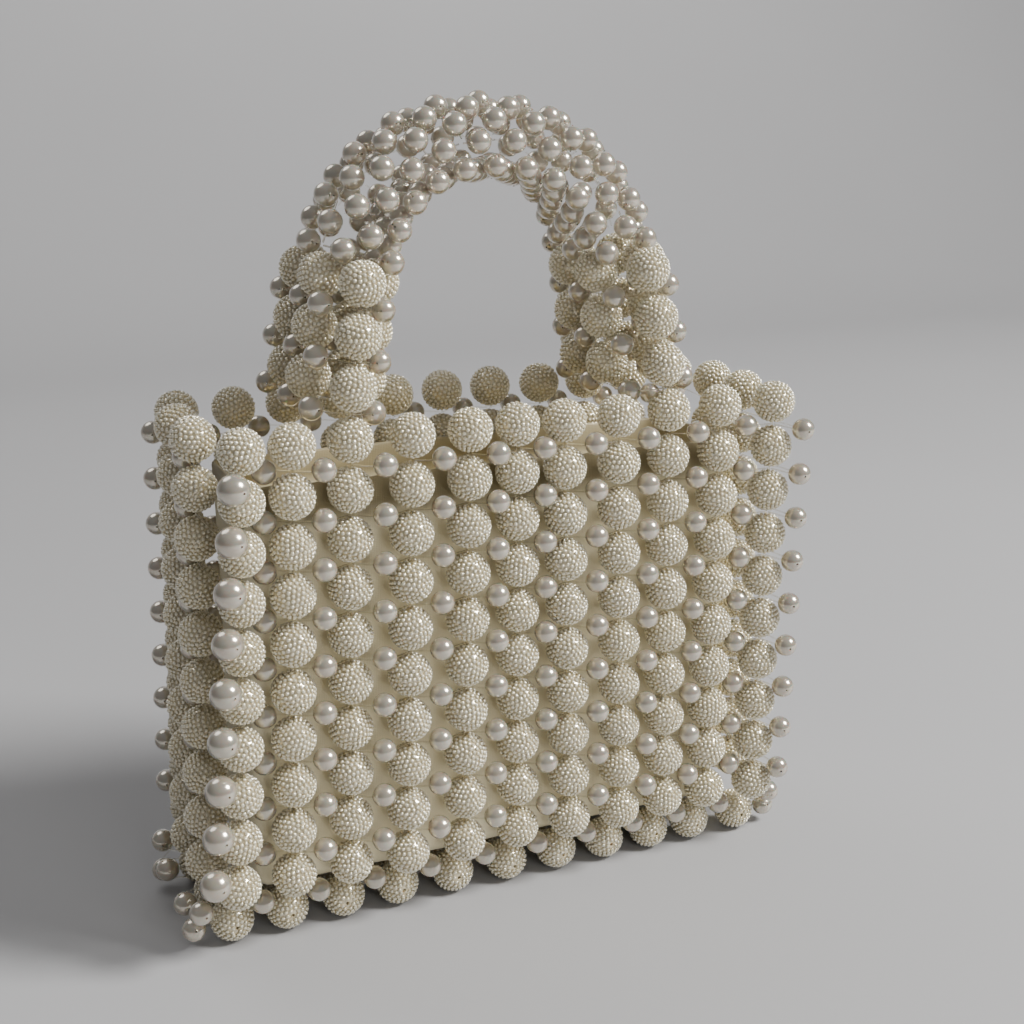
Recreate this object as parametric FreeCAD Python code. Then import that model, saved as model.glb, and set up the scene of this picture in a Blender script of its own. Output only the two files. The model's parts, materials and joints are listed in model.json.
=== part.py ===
import FreeCAD, Part
import math
import os

# Small evening bag woven from beads on clear thread: upright strings of seed-textured berry
# beads with smooth pearls at every crossing, a base of three bead rows, and one arched
# handle whose legs are tubes of berry beads and whose arch is a tube of smooth pearls. A
# plain pouch lines the inside below the top row of beads.
# Millimetres; origin on the ground at the middle of the bag, +Z up, front toward -Y.

# ---- driving dimensions (mm) -------------------------------------------------
COLUMNS = 11            # upright strings of berry beads in each panel
ROWS = 10               # berry beads in one upright string
COLUMN_PITCH = 14.4
ROW_PITCH = 12.0
PANEL_Y = 23.5          # string axis of the front and back panels, either side of Y = 0
CORNER_X = 72.0         # string axis of the corner strings
CORNER_FLARE = 2.0      # how far the corners spread toward the base
SIDE_X, SIDE_Y = 75.6, 7.7      # the two strings in each side wall
FRONT_TOP_GIVE = (3.3, 1.0, 0.8, 1.5, 2.0, 0.6, -1.4, -0.8, 0.0, 0.8, 2.4)      # sideways give of
FRONT_BASE_GIVE = (0.0, -1.8, -1.2, -0.8, 0.4, 1.6, 2.1, 2.4, 2.2, 1.1, 0.0)    # the front strings
BERRY_R = 5.5           # berry bead body
PEARL_R = 2.95          # smooth pearl in the walls
CORNER_PEARL_R = 3.8    # larger pearls down the left front corner
ROUND_PEARL_R = 3.0     # smooth pearl in the handle arch
BASE_Z = BERRY_R        # string axis of the base
WALL_Z = 18.25          # lowest berry centre in the walls
BASE_ROW_Y = 16.0       # spacing of the three base rows
LEG_COLUMN = 3          # the handle legs grow from this string and its mirror
LEG_BERRIES = 3
LEG_OUT, LEG_IN = 5.9, 8.1      # outer and inner string axes from the leg's centre plane
LEG_LEAN = 6.6          # how far a leg leans in over its height
ARCH_HALF_WIDTH, ARCH_HEIGHT, ARCH_POWER = 36.7, 38.7, 2.19
ARCH_SPRING = 28.1      # height of the arch's springing above the top berry row
ARCH_ROUNDS = 10        # woven rounds in the arch
TOP_Z = WALL_Z + (ROWS - 1) * ROW_PITCH
BERRY_BORE_R, PEARL_BORE_R = 0.8, 0.6
THREAD_R = 0.2
LINING_X, LINING_Y = 66.4, 16.4         # outer faces of the pouch that lines the bag
LINING_FLOOR, LINING_TOP = 11.3, 115.5
LINING_T = 0.6


# ---- where each bead sits ----------------------------------------------------
def flare(z):
    """Sideways spread of the corners at height z, none at the top row."""
    return CORNER_FLARE * ((TOP_Z - z) / (TOP_Z - BASE_Z)) ** 2


def give(i, z):
    """Sideways give of front string i at height z."""
    t = (z - WALL_Z) / (TOP_Z - WALL_Z)
    return t * FRONT_TOP_GIVE[i - 1] + (1 - t) * FRONT_BASE_GIVE[i - 1]


def column_at(i, side, z):
    """Axis point, at height z, of string i (1 at the left) of the front (-1) or back (+1) panel."""
    x = (i - 6) * COLUMN_PITCH
    if i in (1, COLUMNS):
        x = math.copysign(CORNER_X + flare(z), x)
    if side < 0:
        x += give(i, z)
    bow = 0.7 * math.sin(1.9 * i + 0.4 + side)
    return (x, side * (PANEL_Y + bow), z)


def wall_column(i, side):
    return [("berry", column_at(i, side, TOP_Z - k * ROW_PITCH), (0, 0, 1)) for k in range(ROWS)]


def side_column(sx, sy):
    heights = [TOP_Z - k * ROW_PITCH for k in range(ROWS)]
    return [("berry", (sx * (SIDE_X + flare(z)), sy * SIDE_Y, z), (0, 0, 1)) for z in heights]


def base_point(i, k):
    """Berry of base string i in row k, sliding from the front string to the back one."""
    xa, xb = column_at(i, -1, WALL_Z)[0], column_at(i, 1, WALL_Z)[0]
    return ((1 - k) / 2 * xa + (1 + k) / 2 * xb, k * BASE_ROW_Y, BASE_Z)


def base_row(k):
    """Row k (-1 front, 0 middle, 1 back) of base beads, bored front to back."""
    return [("berry", base_point(i, k), (0, 1, 0)) for i in range(1, COLUMNS + 1)]


def toward(a, b):
    d = [q - p for p, q in zip(a, b)]
    n = math.sqrt(sum(v * v for v in d)) or 1.0
    return tuple(v / n for v in d)


def pearl(centre, a, b, kind="pearl"):
    """Wall pearl at centre on the thread link from string point a to string point b."""
    return (kind, centre, toward(a, b), (a, b))


def between(a, b, out, lift):
    """Pearl between two string points, moved by lift along the direction out."""
    return pearl(tuple((p + q) / 2 + lift * o for p, q, o in zip(a, b, out)), a, b)


def panel_pearls(side):
    beads = []
    for i in range(1, COLUMNS):
        proud = 2.4 + 0.5 * math.sin(2.7 * i)
        if i in (1, COLUMNS - 1):
            proud = -2.6 if i == 1 else 0.2
        for k in range(ROWS - 1):
            z = TOP_Z - (k + 0.5) * ROW_PITCH
            beads.append(between(column_at(i, side, z), column_at(i + 1, side, z), (0, side, 0), proud))
    return beads


def side_pearls(sx):
    """Edge pearls standing out at both corners, and pearls between the side strings."""
    beads = []
    corner = 1 if sx < 0 else COLUMNS
    for k in range(ROWS - 1):
        z = TOP_Z - (k + 0.5) * ROW_PITCH
        x = flare(z)
        strings = [(sx * (SIDE_X + x), sy * SIDE_Y, z) for sy in (-1, 1)]
        for sy, string in zip((-1, 1), strings):
            centre, kind = (sx * (77.0 + x), sy * 29.1, z), "pearl"
            if sy < 0:
                up = k / (ROWS - 2)
                centre = (centre[0] + (-2.2 * up + 4.4 * (1 - up) if sx < 0 else 3.4 * (1 - up)),
                          -30.2 - 0.9 * (1 - up) if sx < 0 else -29.6, z - 1.0)
                kind = "corner_pearl" if sx < 0 else "pearl"
            beads.append(pearl(centre, column_at(corner, sy, z), string, kind))
        beads.append(pearl((sx * (SIDE_X + 0.3 + x), 0, z), *strings))
    for sy in (-1, 1):
        foot = (sx * (CORNER_X + flare(BASE_Z)), sy * BASE_ROW_Y / 2, BASE_Z)
        wall = (sx * (SIDE_X + flare(12)), sy * SIDE_Y, 11.9)
        corner_foot = column_at(corner, sy, 12.2)
        beads.append(pearl((sx * 82.2, sy * 20.5, 11.3), corner_foot, wall))
        beads.append(pearl((sx * 83.3, sy * 16.5, 5.0), corner_foot, foot))
        beads.append(pearl((sx * 83.6, sy * 9.5, 8.5), wall, foot))
    return beads


def base_pearls():
    beads = []
    for i in range(1, COLUMNS):
        for sy in (-1, 1):
            xa, xb = base_point(i, sy)[0], base_point(i + 1, sy)[0]
            edge, floor = (sy * (BASE_ROW_Y + 3.9), 11.9), (sy * BASE_ROW_Y / 2, BASE_Z)
            beads.append(pearl(((xa + xb) / 2, sy * (BASE_ROW_Y + 3.6), 10.3), (xa,) + edge, (xb,) + edge))
            xa, xb = (base_point(j, sy / 2)[0] for j in (i, i + 1))
            beads.append(pearl(((xa + xb) / 2, floor[0], 5.2), (xa,) + floor, (xb,) + floor))
    return beads


def handle_path():
    """Arc-length table of the arch's centre line, left to right, springing to springing."""
    points = []
    for k in range(401):
        t = math.pi * k / 400
        c, s = math.cos(t), math.sin(t)
        x = -ARCH_HALF_WIDTH * math.copysign(abs(c) ** (2 / ARCH_POWER), c)
        z = TOP_Z + ARCH_SPRING + ARCH_HEIGHT * abs(s) ** (2 / ARCH_POWER)
        points.append((x, z))
    table, length = [(0.0,) + points[0]], 0.0
    for (xa, za), (xb, zb) in zip(points, points[1:]):
        length += math.hypot(xb - xa, zb - za)
        table.append((length, xb, zb))
    return table


def on_path(table, s):
    """Point and unit tangent at arc length s."""
    for (sa, xa, za), (sb, xb, zb) in zip(table, table[1:]):
        if s <= sb:
            break
    t = (s - sa) / (sb - sa)
    n = math.hypot(xb - xa, zb - za)
    return (xa + t * (xb - xa), za + t * (zb - za)), ((xb - xa) / n, (zb - za) / n)


def arch_section(f):
    """Half sizes of the tube at fraction f: outer rise, inner drop, half depth."""
    w = abs(2 * (0.11 + 0.78 * f) - 1) ** 2.1
    return 8.6 + 0.8 * w, 7.4 + 2.0 * w, 11.2 + 8.0 * w


# the twelve places round the tube: (share of rise or drop, share of half depth, lengthwise?)
AROUND = [(0, -1, True), (0.56, -0.86, False), (0.88, -0.50, True), (1, 0, False),
          (0.80, 0.50, True), (0.50, 0.88, False), (0, 1, True), (-0.80, 0.95, False),
          (-0.96, 0.50, True), (-1, 0, False), (-0.96, -0.50, True), (-0.80, -0.95, False)]


def arch_point(table, f, k):
    """Point of place k round the tube at fraction f of the arch."""
    share, depth = AROUND[k % 12][:2]
    rise, drop, half = arch_section(f)
    (x, z), (tx, tz) = on_path(table, table[-1][0] * (0.11 + 0.78 * f))
    r = share * (rise if share > 0 else drop)
    return (x - tz * r, depth * half, z + tx * r)


def handle_round(n):
    """Round n (1..ROUNDS + 1): six crosswise pearls, then six lengthwise ones after them."""
    table, beads = handle_path(), []
    for k, place in enumerate(AROUND):
        f = (n - 1) / ARCH_ROUNDS
        if not place[2]:
            a, b = arch_point(table, f, k - 1), arch_point(table, f, k + 1)
            beads.append(("round_pearl", arch_point(table, f, k), toward(a, b), (a, b)))
        elif n <= ARCH_ROUNDS:
            a, b = arch_point(table, f, k), arch_point(table, f + 1 / ARCH_ROUNDS, k)
            middle = arch_point(table, f + 0.5 / ARCH_ROUNDS, k)
            beads.append(("round_pearl", middle, toward(a, b), (a, b)))
    return beads


def leg_point(sx, s, r_out, y):
    """Point s up a leg from the top berry row, r_out toward the outside of the leg."""
    height = ROW_PITCH * (LEG_BERRIES + 0.5)
    tilt = math.atan2(LEG_LEAN, height)
    x0 = (6 - LEG_COLUMN) * COLUMN_PITCH
    x = x0 - s * math.sin(tilt) + r_out * math.cos(tilt)
    z = TOP_Z + s * math.cos(tilt) + r_out * math.sin(tilt)
    return (sx * x, y, z)


def leg_axis(sx):
    return toward(leg_point(sx, 0, 0, 0), leg_point(sx, 1, 0, 0))


def leg_depth(s):
    return PANEL_Y - 4.6 * (s / 42.0) ** 1.5


def leg_column(sx, where, sy):
    """One string of a leg: where is 0 for front or back, LEG_OUT or -LEG_IN for the middle ones."""
    beads = []
    for k in range(1, LEG_BERRIES + 1):
        s = k * ROW_PITCH
        y = leg_depth(s) if where == 0 else 7.4
        beads.append(("berry", leg_point(sx, s, where, sy * y), leg_axis(sx)))
    return beads


def leg_pearls(sx):
    beads = []
    for k in range(LEG_BERRIES):
        s = (k + 0.5) * ROW_PITCH
        d = leg_depth(s)
        for out, proud in ((LEG_OUT, 1.6), (-LEG_IN, -1.6)):
            strings = [leg_point(sx, s, out, sy * 7.4) for sy in (-1, 1)]
            for sy, string in zip((-1, 1), strings):
                c = leg_point(sx, s, math.copysign(7.8, out), sy * (d - 5.7))
                beads.append(pearl(c, leg_point(sx, s, 0, sy * d), string))
            beads.append(pearl(leg_point(sx, s, out + proud, 0), *strings))
    return beads


def layout():
    """Every woven group of beads: {node name: [(kind, centre, bore axis), ...]}."""
    groups = {}
    for i in range(1, COLUMNS + 1):
        groups["front_column_%02d" % i] = wall_column(i, -1)
        groups["back_column_%02d" % i] = wall_column(i, 1)
    for sx, name in ((-1, "left"), (1, "right")):
        groups[name + "_side_column_front"] = side_column(sx, -1)
        groups[name + "_side_column_back"] = side_column(sx, 1)
        groups[name + "_side_pearls"] = side_pearls(sx)
        groups[name + "_leg_column_front"] = leg_column(sx, 0, -1)
        groups[name + "_leg_column_back"] = leg_column(sx, 0, 1)
        groups[name + "_leg_columns_outer"] = leg_column(sx, LEG_OUT, -1) + leg_column(sx, LEG_OUT, 1)
        groups[name + "_leg_columns_inner"] = leg_column(sx, -LEG_IN, -1) + leg_column(sx, -LEG_IN, 1)
        groups[name + "_leg_pearls"] = leg_pearls(sx)
    for k, name in ((-1, "front"), (0, "middle"), (1, "back")):
        groups["base_row_" + name] = base_row(k)
    groups["front_panel_pearls"] = panel_pearls(-1)
    groups["back_panel_pearls"] = panel_pearls(1)
    groups["base_pearls"] = base_pearls()
    for n in range(1, ARCH_ROUNDS + 2):
        groups["handle_round_%02d" % n] = handle_round(n)
    return groups


# ---- solids ------------------------------------------------------------------
RADII = {"berry": (BERRY_R, BERRY_BORE_R), "pearl": (PEARL_R, PEARL_BORE_R),
         "corner_pearl": (CORNER_PEARL_R, PEARL_BORE_R),
         "round_pearl": (ROUND_PEARL_R, PEARL_BORE_R)}


def bead_blank(kind):
    """A bead at the origin, bored along Z."""
    r, bore = RADII[kind]
    drill = Part.makeCylinder(bore, 4 * r, FreeCAD.Vector(0, 0, -2 * r))
    return Part.makeSphere(r).cut(drill)


BLANKS = {kind: bead_blank(kind) for kind in RADII}


def bead(kind, centre, axis, link=None):
    solid = BLANKS[kind].copy()
    turn = FreeCAD.Rotation(FreeCAD.Vector(0, 0, 1), FreeCAD.Vector(*axis))
    solid.Placement = FreeCAD.Placement(FreeCAD.Vector(*centre), turn)
    return solid


def rod(a, b):
    """Thread from a to b with a rounded end at b."""
    a, b = FreeCAD.Vector(*a), FreeCAD.Vector(*b)
    return [Part.makeCylinder(THREAD_R, (b - a).Length, a, b - a), Part.makeSphere(THREAD_R, b)]


def step(a, b, distance):
    """Point at a distance from a on the way to b."""
    return tuple(p + distance * d for p, d in zip(a, toward(a, b)))


def link_thread(kind, centre, axis, link):
    """Thread from one string, through the pearl's bore, to the next string."""
    half = math.dist(*link) / 2 - 0.55
    middle = [(p + q) / 2 for p, q in zip(*link)]
    if kind == "round_pearl" or math.dist(middle, centre) < 1.0:
        start = FreeCAD.Vector(*(c - half * d for c, d in zip(centre, axis)))
        return Part.makeCylinder(THREAD_R, 2 * half, start, FreeCAD.Vector(*axis))
    reach = RADII[kind][0] + 0.15
    enter = tuple(c - reach * d for c, d in zip(centre, axis))
    leave = tuple(c + reach * d for c, d in zip(centre, axis))
    start, end = step(link[0], enter, 0.55), step(link[1], leave, 0.55)
    pieces = rod(start, enter) + rod(enter, leave) + rod(leave, end)[:1]
    return pieces[0].fuse(pieces[1:])


def string_thread(beads, spare=1.2):
    """Thread through the bores of a run of beads, a little past both ends."""
    points = [b[1] for b in beads]
    points.insert(0, step(points[0], points[1], -RADII["berry"][0] - spare))
    points.append(step(points[-1], points[-2], -RADII["berry"][0] - spare))
    pieces = []
    for a, b in zip(points, points[1:]):
        pieces += rod(a, b)
    return pieces[0].fuse(pieces[1:-1])


def save(name, solids):
    for solid in solids:
        if not solid.isValid():
            raise ValueError(name)
    Part.makeCompound(solids).exportStep("parts/%s.step" % name)


def lining():
    """Pouch open at the top: a floor and four walls, each a flat panel, meeting at their edges."""
    x, y, t, seam = LINING_X, LINING_Y, LINING_T, 0.03
    low = LINING_FLOOR + t + seam
    spans = [((-x, -y, LINING_FLOOR), (x, y, LINING_FLOOR + t))]
    for s in (-1, 1):
        spans.append(((-x, min(s * y, s * (y - t)), low), (x, max(s * y, s * (y - t)), LINING_TOP)))
        inner = y - t - seam
        spans.append(((min(s * x, s * (x - t)), -inner, low), (max(s * x, s * (x - t)), inner, LINING_TOP)))
    return [Part.makeBox(*(q - p for p, q in zip(a, b)), FreeCAD.Vector(*a)) for a, b in spans]


def single(shape):
    return shape.Solids[0] if len(shape.Solids) == 1 else shape


def main():
    os.makedirs("parts", exist_ok=True)
    groups = layout()
    for name, beads in groups.items():
        save(name, [bead(*b) for b in beads])

    walls, base, handle = [], [], []
    for name, beads in groups.items():
        where = base if name.startswith("base") else walls
        if "leg" in name or "round" in name:
            where = handle
        if "pearls" in name or "round" in name:
            where += [single(link_thread(*b)) for b in beads]
        elif name.startswith(("front", "back")) or "side" in name:
            where.append(single(string_thread(beads, 0.0)))
        elif "leg" in name:
            for k in range(0, len(beads), LEG_BERRIES):
                where.append(single(string_thread(beads[k:k + LEG_BERRIES], 0.0)))
    for i in range(COLUMNS):
        run = [groups["base_row_" + k][i] for k in ("front", "middle", "back")]
        base.append(single(string_thread(run, 1.0)))
    save("thread_walls", walls)
    save("thread_base", base)
    save("thread_handle", handle)
    save("lining", lining())


main()
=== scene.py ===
import json
import math

import bpy
import numpy as np
from mathutils import Matrix, Vector


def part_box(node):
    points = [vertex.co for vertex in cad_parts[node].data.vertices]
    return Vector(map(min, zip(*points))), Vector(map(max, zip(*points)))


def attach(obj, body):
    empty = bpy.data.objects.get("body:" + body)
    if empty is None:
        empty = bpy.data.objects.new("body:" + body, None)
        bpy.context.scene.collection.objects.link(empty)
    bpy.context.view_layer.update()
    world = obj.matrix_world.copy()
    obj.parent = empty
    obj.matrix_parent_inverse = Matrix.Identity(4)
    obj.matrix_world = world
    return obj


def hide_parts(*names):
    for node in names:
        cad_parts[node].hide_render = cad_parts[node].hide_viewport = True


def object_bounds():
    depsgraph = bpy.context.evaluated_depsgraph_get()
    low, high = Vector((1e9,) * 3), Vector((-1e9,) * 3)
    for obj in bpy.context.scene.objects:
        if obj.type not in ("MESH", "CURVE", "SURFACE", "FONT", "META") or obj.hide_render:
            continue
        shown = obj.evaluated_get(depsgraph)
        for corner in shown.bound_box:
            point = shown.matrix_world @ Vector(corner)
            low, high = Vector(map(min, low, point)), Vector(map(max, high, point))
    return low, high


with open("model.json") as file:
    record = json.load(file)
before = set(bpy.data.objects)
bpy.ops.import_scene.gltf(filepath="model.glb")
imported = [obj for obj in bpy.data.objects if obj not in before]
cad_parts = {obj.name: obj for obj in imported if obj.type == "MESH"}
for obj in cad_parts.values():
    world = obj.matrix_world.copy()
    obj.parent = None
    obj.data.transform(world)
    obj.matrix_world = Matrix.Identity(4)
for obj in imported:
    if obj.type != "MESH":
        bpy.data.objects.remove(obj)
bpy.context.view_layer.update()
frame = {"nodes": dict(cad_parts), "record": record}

# Metres, in the frame of the CAD model: ground at Z = 0, front toward -Y.
MM = 0.001
rng = np.random.default_rng(11)

# ---- bead proportions --------------------------------------------------------
CORE_SHARE = 0.915        # berry core radius, as a share of the CAD berry
SEED_REACH = 1.02         # how far the seeds stand out, as a share of the CAD berry
SEED_SPACING = 1.34 * MM
SEED_R = 0.60 * MM
SEED_SIDES = 7
SEED_RINGS = ((40, 0), (82, 0.5))    # degrees from the apex, and the ring's turn in steps
BORE_CLEAR = 0.95 * MM    # no seeds this close to the bore axis
SEED_JITTER = 0.09        # unevenness of the first seed pattern
SEED_ROUNDS = 24          # rounds of pushing the seeds apart
SEED_PUSH = 1.12          # seeds nearer than this many spacings push
BERRY_HOLE, PEARL_HOLE = 0.4 * MM, 0.21 * MM    # bore mouths, snug on the thread
BERRY_LIP, PEARL_LIP = 0.15 * MM, 0.05 * MM     # rounding of the bore mouths
BERRY_TILT, PEARL_TILT = 0.05, 0.03             # how unevenly the beads sit on their bores
BERRY_VARIANTS = 6
CORE_SIDES, CORE_RINGS = 28, 14
PEARL_SIDES, PEARL_RINGS = 36, 20


# ---- beads read back from the CAD nodes --------------------------------------
def mesh_arrays(obj):
    """Welded vertices and triangles of a node's mesh."""
    mesh = obj.data
    mesh.calc_loop_triangles()
    co = np.zeros(len(mesh.vertices) * 3)
    mesh.vertices.foreach_get("co", co)
    tri = np.zeros(len(mesh.loop_triangles) * 3, np.int64)
    mesh.loop_triangles.foreach_get("vertices", tri)
    co, where = np.unique(np.round(co.reshape(-1, 3), 7), axis=0, return_inverse=True)
    return co, where.reshape(-1)[tri].reshape(-1, 3)


def islands(count, tri):
    """Island number of each vertex, found by spreading the lowest label."""
    label = np.arange(count)
    ends = np.concatenate([tri[:, [0, 1]], tri[:, [1, 2]], tri[:, [2, 0]]])
    while True:
        low = np.minimum(label[ends[:, 0]], label[ends[:, 1]])
        new = label.copy()
        np.minimum.at(new, ends[:, 0], low)
        np.minimum.at(new, ends[:, 1], low)
        new = new[new]
        if (new == label).all():
            return label
        label = new


def beads_of(node):
    """[(centre, bore axis, radius)] of the bored spheres in a CAD node."""
    co, tri = mesh_arrays(frame["nodes"][node])
    label = islands(len(co), tri)
    beads = []
    for k in np.unique(label):
        points = co[label == k]
        centre = (points.min(0) + points.max(0)) / 2
        radius = np.linalg.norm(points - centre, axis=1).max()
        corners = co[tri[label[tri[:, 0]] == k]]
        normal = np.cross(corners[:, 1] - corners[:, 0], corners[:, 2] - corners[:, 0])
        middle = corners.mean(1) - centre
        wall = np.linalg.norm(middle, axis=1) < 0.9 * radius
        spread = normal[wall].T @ normal[wall]
        axis = np.linalg.eigh(spread)[1][:, 0]
        beads.append((centre, axis, radius))
    return beads


# ---- bead shapes -------------------------------------------------------------
def split_quads(a, b, c, d):
    """Two triangles for each quad of a grid."""
    halves = (a, b, c), (a, c, d)
    return np.concatenate([np.stack(half, 2).reshape(-1, 3) for half in halves])


def lathe(profile, sides):
    """Closed ring of (radius, height) points turned round Z: vertices and triangles."""
    profile = np.asarray(profile)
    n = len(profile)
    turn = np.arange(sides) * 2 * math.pi / sides
    ring = np.stack([np.cos(turn), np.sin(turn)], 1)
    verts = [np.column_stack([ring * r, np.full(sides, z)]) for r, z in profile]
    i, j = np.meshgrid(np.arange(n), np.arange(sides), indexing="ij")
    a, b = i * sides + j, i * sides + (j + 1) % sides
    c, d = ((i + 1) % n) * sides + (j + 1) % sides, ((i + 1) % n) * sides + j
    return np.concatenate(verts), split_quads(a, b, c, d)


def bored_ball(radius, bore, rings, lip):
    """Ring profile of a ball with a through bore and a rounded lip where the bore comes out."""
    start = math.asin((bore + lip) / radius)
    angles = np.linspace(math.pi - start, start, rings)
    profile = [(radius * math.sin(a), radius * math.cos(a)) for a in angles]
    top = radius * math.cos(start)
    profile += [(bore + 0.3 * lip, top - 0.1 * lip), (bore, top - lip), (bore, 0.0),
                (bore, lip - top), (bore + 0.3 * lip, 0.1 * lip - top)]
    return profile


def seed_blank():
    """One seed as a closed drop: apex, two rings and an inner point, along +Z."""
    verts = [(0, 0, 1)]
    for tilt, shift in SEED_RINGS:
        t = math.radians(tilt)
        for k in range(SEED_SIDES):
            a = 2 * math.pi * (k + shift) / SEED_SIDES
            verts.append((math.sin(t) * math.cos(a), math.sin(t) * math.sin(a), math.cos(t)))
    verts.append((0, 0, -0.6))
    tri, n = [], SEED_SIDES
    for k in range(n):
        p, q = 1 + k, 1 + (k + 1) % n
        r, s = 1 + n + k, 1 + n + (k + 1) % n
        tri += [(0, p, q), (p, r, q), (q, r, s), (r, 2 * n + 1, s)]
    return np.array(verts, float), np.array(tri)


def tangent_frames(normals, spin):
    """Rotation matrices whose third column is each normal, turned by spin about it."""
    helper = np.where(np.abs(normals[:, 2:3]) < 0.9, [[0.0, 0, 1]], [[1.0, 0, 0]])
    u = np.cross(helper, normals)
    u /= np.linalg.norm(u, axis=1)[:, None]
    v = np.cross(normals, u)
    c, s = np.cos(spin)[:, None], np.sin(spin)[:, None]
    return np.stack([u * c + v * s, v * c - u * s, normals], 2)


def berry_shape(radius):
    """A berry bead bored along Z: vertices, triangles and crest, which is 1 on the seeds' tops and 0
    in the grooves; the material paints shade into the grooves by it.
    """
    core_r = radius * CORE_SHARE
    core, core_tri = lathe(bored_ball(core_r, BERRY_HOLE, CORE_RINGS, BERRY_LIP), CORE_SIDES)
    count = int(4 * math.pi * radius ** 2 / (SEED_SPACING ** 2 * 0.866))
    k = np.arange(count) + 0.5
    z = 1 - 2 * k / count
    turn = k * math.pi * (3 - math.sqrt(5))
    flat = np.sqrt(1 - z ** 2)
    normals = np.stack([flat * np.cos(turn), flat * np.sin(turn), z], 1)
    normals += rng.normal(0, SEED_JITTER, normals.shape)
    for _ in range(SEED_ROUNDS):     # neighbours push one another apart
        normals /= np.linalg.norm(normals, axis=1)[:, None]
        apart = normals[:, None] - normals[None]
        gap = np.linalg.norm(apart, axis=2) + np.eye(count)
        push = np.clip(SEED_PUSH * SEED_SPACING / radius - gap, 0, None) / gap
        normals = normals + 0.3 * (apart * push[:, :, None]).sum(1)
    normals /= np.linalg.norm(normals, axis=1)[:, None]
    normals = normals[np.hypot(normals[:, 0], normals[:, 1]) * radius > BORE_CLEAR]
    blank, blank_tri = seed_blank()
    size = SEED_R * rng.uniform(0.92, 1.06, len(normals))
    turned = tangent_frames(normals, rng.uniform(0, 6.3, len(normals)))
    heart = radius * SEED_REACH - SEED_R
    seeds = np.einsum("nij,vj->nvi", turned, blank) * size[:, None, None]
    seeds += (normals * heart)[:, None, :]
    step = len(blank) * np.arange(len(normals))
    tri = (blank_tri[None] + step[:, None, None]).reshape(-1, 3) + len(core)
    seed_crest = np.clip(blank[:, 2], 0, 1)
    crest = np.concatenate([np.zeros(len(core)), np.tile(seed_crest, len(normals))])
    return np.concatenate([core, seeds.reshape(-1, 3)]), np.concatenate([core_tri, tri]), crest


def pearl_shape(radius):
    """A smooth pearl bored along Z, in the same form as berry_shape."""
    verts, tri = lathe(bored_ball(radius, PEARL_HOLE, PEARL_RINGS, PEARL_LIP), PEARL_SIDES)
    return verts, tri, np.zeros(len(verts))


# ---- pieces ------------------------------------------------------------------
def make_piece(name, parts, material):
    """One mesh object from [(vertices, triangles, crest, tone)]."""
    start, verts, tris, crest, tone = 0, [], [], [], []
    for v, t, c, w in parts:
        verts.append(v)
        tris.append(t + start)
        crest.append(c)
        tone.append(np.full(len(v), w))
        start += len(v)
    verts, tris = np.concatenate(verts), np.concatenate(tris)
    mesh = bpy.data.meshes.new(name)
    mesh.vertices.add(len(verts))
    mesh.vertices.foreach_set("co", verts.ravel())
    mesh.loops.add(tris.size)
    mesh.loops.foreach_set("vertex_index", tris.ravel().astype(np.int32))
    mesh.polygons.add(len(tris))
    mesh.polygons.foreach_set("loop_start", np.arange(0, tris.size, 3, dtype=np.int32))
    mesh.polygons.foreach_set("use_smooth", np.ones(len(tris), bool))
    for label, values in (("crest", crest), ("tone", tone)):
        layer = mesh.attributes.new(label, "FLOAT", "POINT")
        layer.data.foreach_set("value", np.concatenate(values).astype(np.float32))
    mesh.update()
    mesh.validate()
    mesh.materials.append(material)
    obj = bpy.data.objects.new(name, mesh)
    bpy.context.scene.collection.objects.link(obj)
    return obj


def placed(shape, centre, axis, tilt):
    """A bead shape turned onto its bore axis with a random spin and a little tilt."""
    verts, tri, crest = shape
    lean = axis + rng.normal(0, tilt, 3)
    turn = tangent_frames((lean / np.linalg.norm(lean))[None], rng.uniform(0, 6.3, 1))[0]
    return verts @ turn.T + centre, tri, crest


def bead_piece(node, shape_for, material, tilt):
    """A piece that stands for a CAD node of beads, each bead with its own tone."""
    parts = []
    for centre, axis, radius in beads_of(node):
        shape = shape_for(radius)
        parts.append((*placed(shape, centre, axis, tilt), rng.uniform(0, 1)))
    piece = make_piece("beads_" + node, parts, material)
    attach(piece, "root")
    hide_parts(node)
    return piece


# ---- lining pouch ------------------------------------------------------------
POUCH_CORNER = 4 * MM     # rounding of the upright corners
POUCH_BEND = 3 * MM       # rounding between the floor and the walls
POUCH_T = 0.6 * MM
POUCH_SAG = 1.2 * MM      # most that a wall sags inward
HEM_T, HEM_DEPTH, HEM_PUCKER = 1.1 * MM, 6.5 * MM, 0.4 * MM
HEM_STEP = 0.6 * MM       # height over which the cloth doubles into the hem
POUCH_ROWS, BEND_ROWS, HEM_ROWS, FLOOR_ROWS = 60, 6, 7, 7
PUCKERS = 23              # stitches to the weave round the hem
HEM_SHADE = (104 * MM, 109 * MM)    # heights between which painted shade darkens the cloth toward its hem
LONG_SEGMENTS, SHORT_SEGMENTS, CORNER_SEGMENTS = 96, 24, 8


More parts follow.
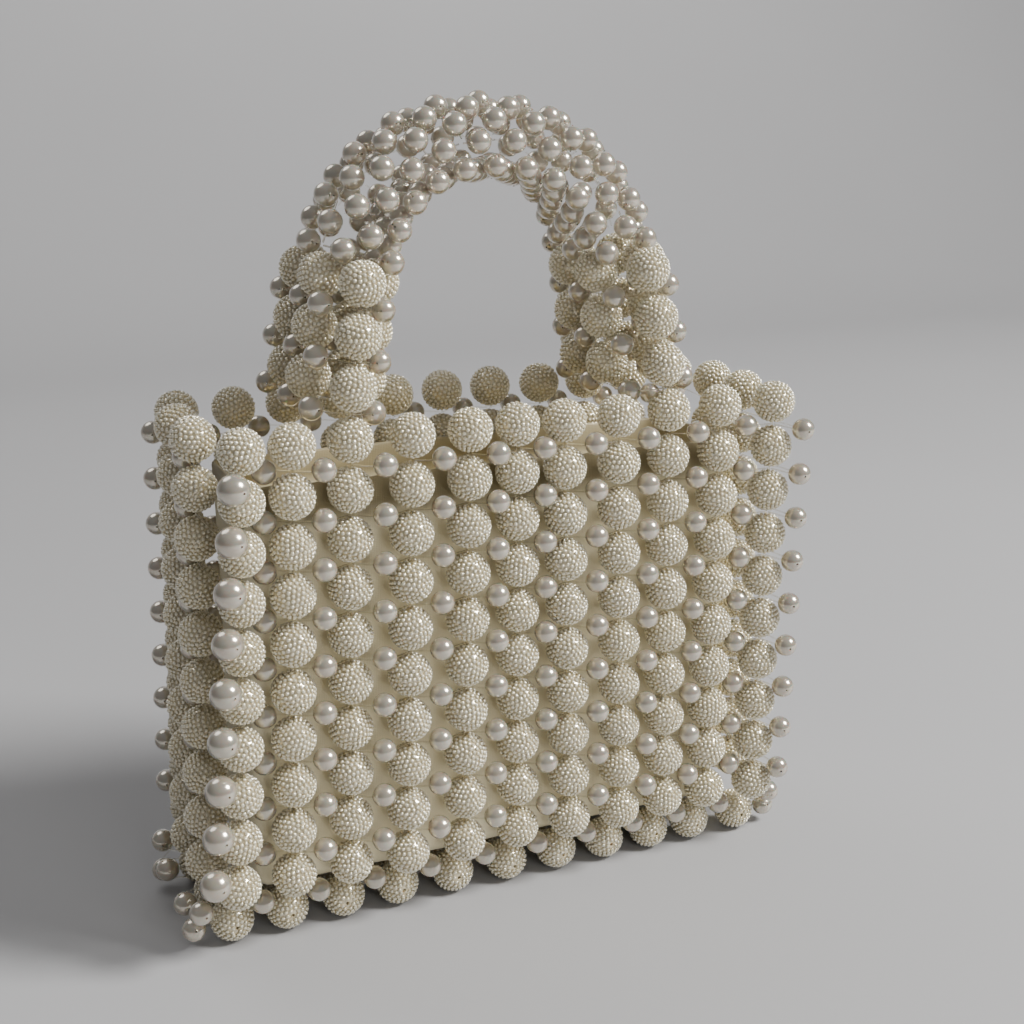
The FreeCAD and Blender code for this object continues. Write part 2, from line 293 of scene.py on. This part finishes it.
def rounded_outline(half_x, half_y, corner):
    """Points and outward normals round a rounded rectangle, starting at the foot of the +X side."""
    points, normals = [], []
    sides = ((half_x, half_y, 0), (half_y, half_x, 1), (half_x, half_y, 2), (half_y, half_x, 3))
    for out, along, quarter in sides:
        straight = SHORT_SEGMENTS if quarter % 2 == 0 else LONG_SEGMENTS
        turn = quarter * math.pi / 2
        for k in range(straight):
            run = (2 * k / straight - 1) * (along - corner)
            points.append((out, run, turn))
            normals.append(turn)
        for k in range(CORNER_SEGMENTS):
            a = math.pi / 2 * k / CORNER_SEGMENTS
            points.append((out - corner * (1 - math.cos(a)), along - corner * (1 - math.sin(a)), turn))
            normals.append(turn + a)
    x, y, turn = np.array(points).T
    normals = np.array(normals)
    place = np.stack([x * np.cos(turn) - y * np.sin(turn), x * np.sin(turn) + y * np.cos(turn)], 1)
    return place, np.stack([np.cos(normals), np.sin(normals)], 1)


def pouch_shape(low, high):
    """Cloth pouch with a floor, open at the top: walls that sag inward, and a rolled, puckered hem."""
    middle, half = (low + high) / 2, (high - low) / 2
    floor, top = low[2] + 0.1 * MM, high[2] - 0.05 * MM
    curve = np.linspace(0, math.pi / 2, BEND_ROWS)
    walls = np.linspace(floor + POUCH_BEND, top - HEM_T / 2, POUCH_ROWS)[1:]
    shelf = np.linspace(half[1] - 0.5 * MM, POUCH_BEND, FLOOR_ROWS)[:-1]
    # Rings of (inset, height): out along the floor, up outside, over the hem, and back inside.
    rings = [(d, floor) for d in shelf]
    rings += [(POUCH_BEND * (1 - math.sin(a)), floor + POUCH_BEND * (1 - math.cos(a))) for a in curve]
    rings += [(0.0, z) for z in walls]
    rings += [(HEM_T / 2 * (1 - math.cos(a)), top - HEM_T / 2 * (1 - math.sin(a)))
              for a in np.linspace(0, math.pi, HEM_ROWS)[1:-1]]
    for z in walls[::-1]:
        fold = min(max((z - (top - HEM_DEPTH)) / HEM_STEP, 0.0), 1.0)
        rings.append((POUCH_T + (HEM_T - POUCH_T) * fold, z))
    inner = POUCH_BEND - POUCH_T
    rings += [(POUCH_T + inner * (1 - math.sin(a)), floor + POUCH_T + inner * (1 - math.cos(a)))
              for a in curve[::-1]]
    rings += [(d, floor + POUCH_T) for d in shelf[::-1]]
    place, _ = rounded_outline(half[0], half[1], POUCH_CORNER)
    step = np.linalg.norm(np.roll(place, -1, 0) - place, axis=1)
    round_turn = np.concatenate([[0], np.cumsum(step)[:-1]]) / step.sum() * 2 * math.pi
    verts = []
    for inset, z in rings:
        corner = max(POUCH_CORNER - inset, 0.2 * MM)
        place, normal = rounded_outline(half[0] - inset, half[1] - inset, corner)
        rise = min(max((z - floor) / (top - floor), 0.0), 1.0)
        folds = (0.5 + 0.25 * np.sin(8 * round_turn + 1.3 + 0.8 * rise)
                 + 0.15 * np.sin(14 * round_turn + 0.4 - 6.3 * rise)
                 + 0.10 * np.sin(24 * round_turn + 5.0 * rise))
        place = place - normal * (POUCH_SAG * math.sin(math.pi * rise) ** 0.7 * folds)[:, None]
        pucker = HEM_PUCKER * (0.5 - 0.5 * np.cos(PUCKERS * round_turn)) * rise ** 12
        verts.append(np.column_stack([place + middle[:2], z - pucker]))
    around = len(verts[0])
    i, j = np.meshgrid(np.arange(len(verts) - 1), np.arange(around), indexing="ij")
    a, b = i * around + j, i * around + (j + 1) % around
    c, d = b + around, a + around
    tri = [split_quads(a, b, c, d)]
    # The innermost floor rings close with strips between points that face each other across Y.
    k = np.arange(around)
    flip, flip_next = (SHORT_SEGMENTS - k) % around, (SHORT_SEGMENTS - k - 1) % around
    cap = np.concatenate([np.stack([k, flip_next, (k + 1) % around], 1),
                          np.stack([k, flip, flip_next], 1)])
    start = SHORT_SEGMENTS // 2
    cap = cap[np.tile((k >= start) & (k < start + around // 2), 2)]
    cap = cap[(cap[:, 0] != cap[:, 1]) & (cap[:, 1] != cap[:, 2]) & (cap[:, 0] != cap[:, 2])]
    tri += [cap, cap[:, ::-1] + (len(verts) - 1) * around]
    verts = np.concatenate(verts)
    return verts, np.concatenate(tri), np.zeros(len(verts))


# ---- materials ---------------------------------------------------------------
class Tree:
    """A material's node tree with short calls for adding and linking nodes."""

    def __init__(self, name):
        self.material = bpy.data.materials.new(name)
        self.material.use_nodes = True
        self.nodes = self.material.node_tree.nodes
        self.links = self.material.node_tree.links
        self.nodes.clear()
        self.shader = self.nodes.new("ShaderNodeBsdfPrincipled")
        out = self.nodes.new("ShaderNodeOutputMaterial")
        self.link(self.shader.outputs[0], out.inputs["Surface"])

    def link(self, a, b):
        self.links.new(a, b)

    def add(self, kind, **inputs):
        node = self.nodes.new(kind)
        for key, value in inputs.items():
            node.inputs[key.replace("_", " ")].default_value = value
        return node

    def attribute(self, name):
        node = self.nodes.new("ShaderNodeAttribute")
        node.attribute_name = name
        return node.outputs["Fac"]

    def noise(self, scale, detail=3.0):
        where = self.nodes.new("ShaderNodeTexCoord")
        node = self.add("ShaderNodeTexNoise", Scale=scale, Detail=detail)
        self.link(where.outputs["Object"], node.inputs["Vector"])
        return node.outputs["Fac"]

    def span(self, value, low, high, out_low, out_high):
        node = self.add("ShaderNodeMapRange", From_Min=low, From_Max=high,
                        To_Min=out_low, To_Max=out_high)
        self.link(value, node.inputs["Value"])
        return node.outputs[0]

    def mix(self, factor, a, b):
        node = self.nodes.new("ShaderNodeMix")
        node.data_type = "RGBA"
        for key, value in ((0, factor), (6, a), (7, b)):
            if hasattr(value, "is_linked"):
                self.link(value, node.inputs[key])
            elif key:
                node.inputs[key].default_value = (*value, 1)
            else:
                node.inputs[key].default_value = value
        return node.outputs[2]

    def bump(self, height, strength, distance):
        node = self.add("ShaderNodeBump", Strength=strength, Distance=distance)
        self.link(height, node.inputs["Height"])
        self.link(node.outputs[0], self.shader.inputs["Normal"])

    def set(self, **inputs):
        for key, value in inputs.items():
            self.shader.inputs[key.replace("_", " ")].default_value = value


def berry_material():
    """Pearlescent plastic: a deep clear skin over an ivory body, with painted shade that makes the
    grooves between seeds and the seeds' flanks darker and warmer.
    """
    t = Tree("berry_bead")
    body = t.mix(t.attribute("tone"), (0.77, 0.715, 0.54), (0.75, 0.705, 0.56))
    body = t.mix(t.span(t.noise(900.0), 0.35, 0.7, 0.0, 0.4), body, (0.79, 0.71, 0.51))
    # painted shade: by the crest attribute, the seeds' flanks and the grooves between them go from the
    # body colour to a darker, warmer tan
    colour = t.mix(t.span(t.attribute("crest"), 0.0, 0.7, 0.0, 1.0), (0.68, 0.59, 0.39), body)
    t.link(colour, t.shader.inputs["Base Color"])
    t.link(t.span(t.noise(1500.0), 0.3, 0.7, 0.09, 0.16), t.shader.inputs["Roughness"])
    t.bump(t.noise(2600.0, 2.0), 0.15, 0.05 * MM)
    t.set(Metallic=0.42, Subsurface_Weight=0.4, Subsurface_Scale=1.6 * MM, Coat_Weight=1.0,
          Coat_Roughness=0.02, Coat_IOR=2.0, IOR=1.8)
    t.shader.inputs["Subsurface Radius"].default_value = (1.0, 0.86, 0.62)
    return t.material


def pearl_material():
    """Nacre: a pale, slightly uneven metallic body under a clear skin that mirrors the room."""
    t = Tree("smooth_pearl")
    silver, rose = (0.57, 0.53, 0.445), (0.585, 0.525, 0.435)
    body = t.mix(t.attribute("tone"), silver, rose)
    body = t.mix(t.span(t.noise(420.0), 0.35, 0.7, 0.0, 0.4), body, (0.62, 0.58, 0.475))
    t.link(body, t.shader.inputs["Base Color"])
    t.link(t.span(t.noise(1100.0), 0.3, 0.7, 0.16, 0.24), t.shader.inputs["Roughness"])
    t.bump(t.noise(700.0, 2.0), 0.06, 0.05 * MM)
    t.set(Metallic=0.7, Coat_Weight=0.9, Coat_Roughness=0.07, Coat_IOR=1.85, Subsurface_Weight=0.3,
          Subsurface_Scale=2.0 * MM)
    return t.material


def lining_material():
    """Fine cloth: crossed threads as bump, painted shade for soft creases and toward the hem, and a
    faint sheen.
    """
    t = Tree("lining_cloth")
    # painted shade: random noise patches a little darker and warmer, standing in for shade in soft
    # creases
    crease_shade = t.span(t.noise(45.0), 0.35, 0.7, 0.0, 1.0)
    body = t.mix(crease_shade, (0.97, 0.89, 0.64), (0.94, 0.85, 0.58))
    where = t.nodes.new("ShaderNodeTexCoord").outputs["Object"]
    split = t.nodes.new("ShaderNodeSeparateXYZ")
    t.link(where, split.inputs[0])
    # painted shade: the cloth darkens to deep brown over its top few millimetres, toward the hem
    hem_shade_mask = t.span(split.outputs["Z"], *HEM_SHADE, 0.0, 1.0)
    body = t.mix(hem_shade_mask, body, (0.35, 0.295, 0.17))
    t.link(body, t.shader.inputs["Base Color"])
    t.link(t.span(t.noise(120.0), 0.3, 0.7, 0.45, 0.6), t.shader.inputs["Roughness"])
    weave = None
    for axis in ("X", "Z"):
        wave = t.add("ShaderNodeTexWave", Scale=700.0, Distortion=0.6)
        wave.bands_direction = axis
        t.link(where, wave.inputs["Vector"])
        weave = wave.outputs["Fac"] if weave is None else t.mix(0.5, weave, wave.outputs["Fac"])
    height = t.mix(0.7, weave, t.noise(60.0, 2.0))
    t.bump(height, 0.4, 0.3 * MM)
    t.set(Sheen_Weight=0.5, Sheen_Roughness=0.4)
    return t.material


def thread_material():
    """Clear monofilament, faintly uneven."""
    t = Tree("clear_thread")
    body = t.mix(t.span(t.noise(300.0), 0.3, 0.7, 0.0, 1.0), (0.92, 0.91, 0.86), (0.84, 0.82, 0.74))
    t.link(body, t.shader.inputs["Base Color"])
    t.link(t.span(t.noise(900.0), 0.3, 0.7, 0.06, 0.2), t.shader.inputs["Roughness"])
    t.set(Transmission_Weight=1.0, IOR=1.12)
    return t.material


# ---- build -------------------------------------------------------------------
berry_look, pearl_look = berry_material(), pearl_material()
thread_look, lining_look = thread_material(), lining_material()
shapes = {}


def berry_for(radius):
    """One of the berry shapes of this radius, which are made when first asked for."""
    key = round(radius / MM, 1)
    if key not in shapes:
        shapes[key] = [berry_shape(key * MM) for _ in range(BERRY_VARIANTS)]
    return shapes[key][rng.integers(BERRY_VARIANTS)]


def pearl_for(radius):
    """The pearl shape of this radius."""
    key = round(radius / MM, 1)
    if key not in shapes:
        shapes[key] = pearl_shape(key * MM)
    return shapes[key]


for part in frame["record"]["subparts"]:
    node, slot = part["node"], part["material_slot"]
    if slot == "berry_bead":
        bead_piece(node, berry_for, berry_look, BERRY_TILT)
    elif slot == "smooth_pearl":
        bead_piece(node, pearl_for, pearl_look, PEARL_TILT)
    elif slot == "lining_cloth":
        corners = [np.array(v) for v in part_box(node)]
        pouch = make_piece("lining_pouch", [(*pouch_shape(*corners), 0.5)], lining_look)
        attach(pouch, "root")
        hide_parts(node)
    else:
        cad = frame["nodes"][node]
        cad.data.materials.clear()
        cad.data.materials.append(thread_look)

# ---- stage, light and camera -------------------------------------------------
low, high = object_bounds()
FLOOR_HALF, SWEEP_R, SWEEP_Y, SWEEP_TOP, SWEEP_STEPS = 1.6, 0.45, 0.75, 1.6, 12


def sweep():
    """Pale floor that curves up behind the bag."""
    profile = [(-FLOOR_HALF, 0.0), (SWEEP_Y, 0.0)]
    for k in range(1, SWEEP_STEPS + 1):
        a = math.pi / 2 * k / SWEEP_STEPS
        profile.append((SWEEP_Y + SWEEP_R * math.sin(a), SWEEP_R * (1 - math.cos(a))))
    profile.append((SWEEP_Y + SWEEP_R, SWEEP_TOP))
    verts = [(x, y, z) for y, z in profile for x in (-2 * FLOOR_HALF, 2 * FLOOR_HALF)]
    faces = [(2 * k, 2 * k + 1, 2 * k + 3, 2 * k + 2) for k in range(len(profile) - 1)]
    mesh = bpy.data.meshes.new("floor")
    mesh.from_pydata(verts, [], faces)
    mesh.polygons.foreach_set("use_smooth", [True] * len(faces))
    t = Tree("floor")
    tone = t.mix(t.noise(3.0), (0.35, 0.35, 0.36), (0.38, 0.38, 0.39))
    t.link(tone, t.shader.inputs["Base Color"])
    t.set(Roughness=0.55)
    mesh.materials.append(t.material)
    obj = bpy.data.objects.new("floor", mesh)
    bpy.context.scene.collection.objects.link(obj)


def soft_light(name, place, target, size, watts, colour):
    """Round area light that faces the target."""
    lamp = bpy.data.lights.new(name, "AREA")
    lamp.shape, lamp.size, lamp.energy, lamp.color = "DISK", size, watts, colour
    obj = bpy.data.objects.new(name, lamp)
    obj.location = place
    obj.rotation_euler = (Vector(target) - Vector(place)).to_track_quat("-Z", "Y").to_euler()
    bpy.context.scene.collection.objects.link(obj)
    return obj


def studio_world(low_sky, high_sky):
    """Even grey room, a little lighter overhead."""
    world = bpy.data.worlds.new("studio")
    world.use_nodes = True
    tree = world.node_tree
    where = tree.nodes.new("ShaderNodeTexCoord")
    split = tree.nodes.new("ShaderNodeSeparateXYZ")
    ramp = tree.nodes.new("ShaderNodeValToRGB")
    for element, position, colour in zip(ramp.color_ramp.elements, (0.0, 0.9), (low_sky, high_sky)):
        element.position, element.color = position, (*colour, 1)
    tree.links.new(where.outputs["Generated"], split.inputs[0])
    tree.links.new(split.outputs["Z"], ramp.inputs["Fac"])
    tree.links.new(ramp.outputs["Color"], tree.nodes["Background"].inputs["Color"])
    bpy.context.scene.world = world


sweep()
centre = (low + high) / 2
KEY_WAY, KEY_FAR = Vector((0.62, -0.42, 0.66)), 1.7
soft_light("key", centre + KEY_WAY * KEY_FAR, centre, 0.57, 61.0, (1.0, 0.985, 0.955))
soft_light("back", centre + Vector((-0.4, 0.65, 0.9)), centre, 0.7, 3.0, (1.0, 0.98, 0.95))
fill_place = centre + Vector((0.15, -1.4, 0.25))
fill = soft_light("fill", fill_place, centre, 0.9, 9.0, (1.0, 0.985, 0.96))
fill.visible_glossy = False     # lifts the gaps between beads without a second highlight

studio_world((0.13, 0.13, 0.133), (0.21, 0.21, 0.215))

EYE_PLACE = (-0.1575, -0.3550, 0.2079)
EYE_RIGHT = (0.90524, -0.42482, 0.00805)
EYE_UP = (0.10846, 0.24935, 0.96232)
EYE_BACK = (-0.41082, -0.87026, 0.27180)
camera = bpy.data.cameras.new("camera")
camera.lens, camera.sensor_width = 54.3, 36.0
eye = bpy.data.objects.new("camera", camera)
bpy.context.scene.collection.objects.link(eye)
turn = Matrix((EYE_RIGHT, EYE_UP, EYE_BACK)).transposed()
eye.matrix_world = Matrix.Translation(EYE_PLACE) @ turn.to_4x4()
bpy.context.scene.camera = eye

bpy.context.view_layer.update()
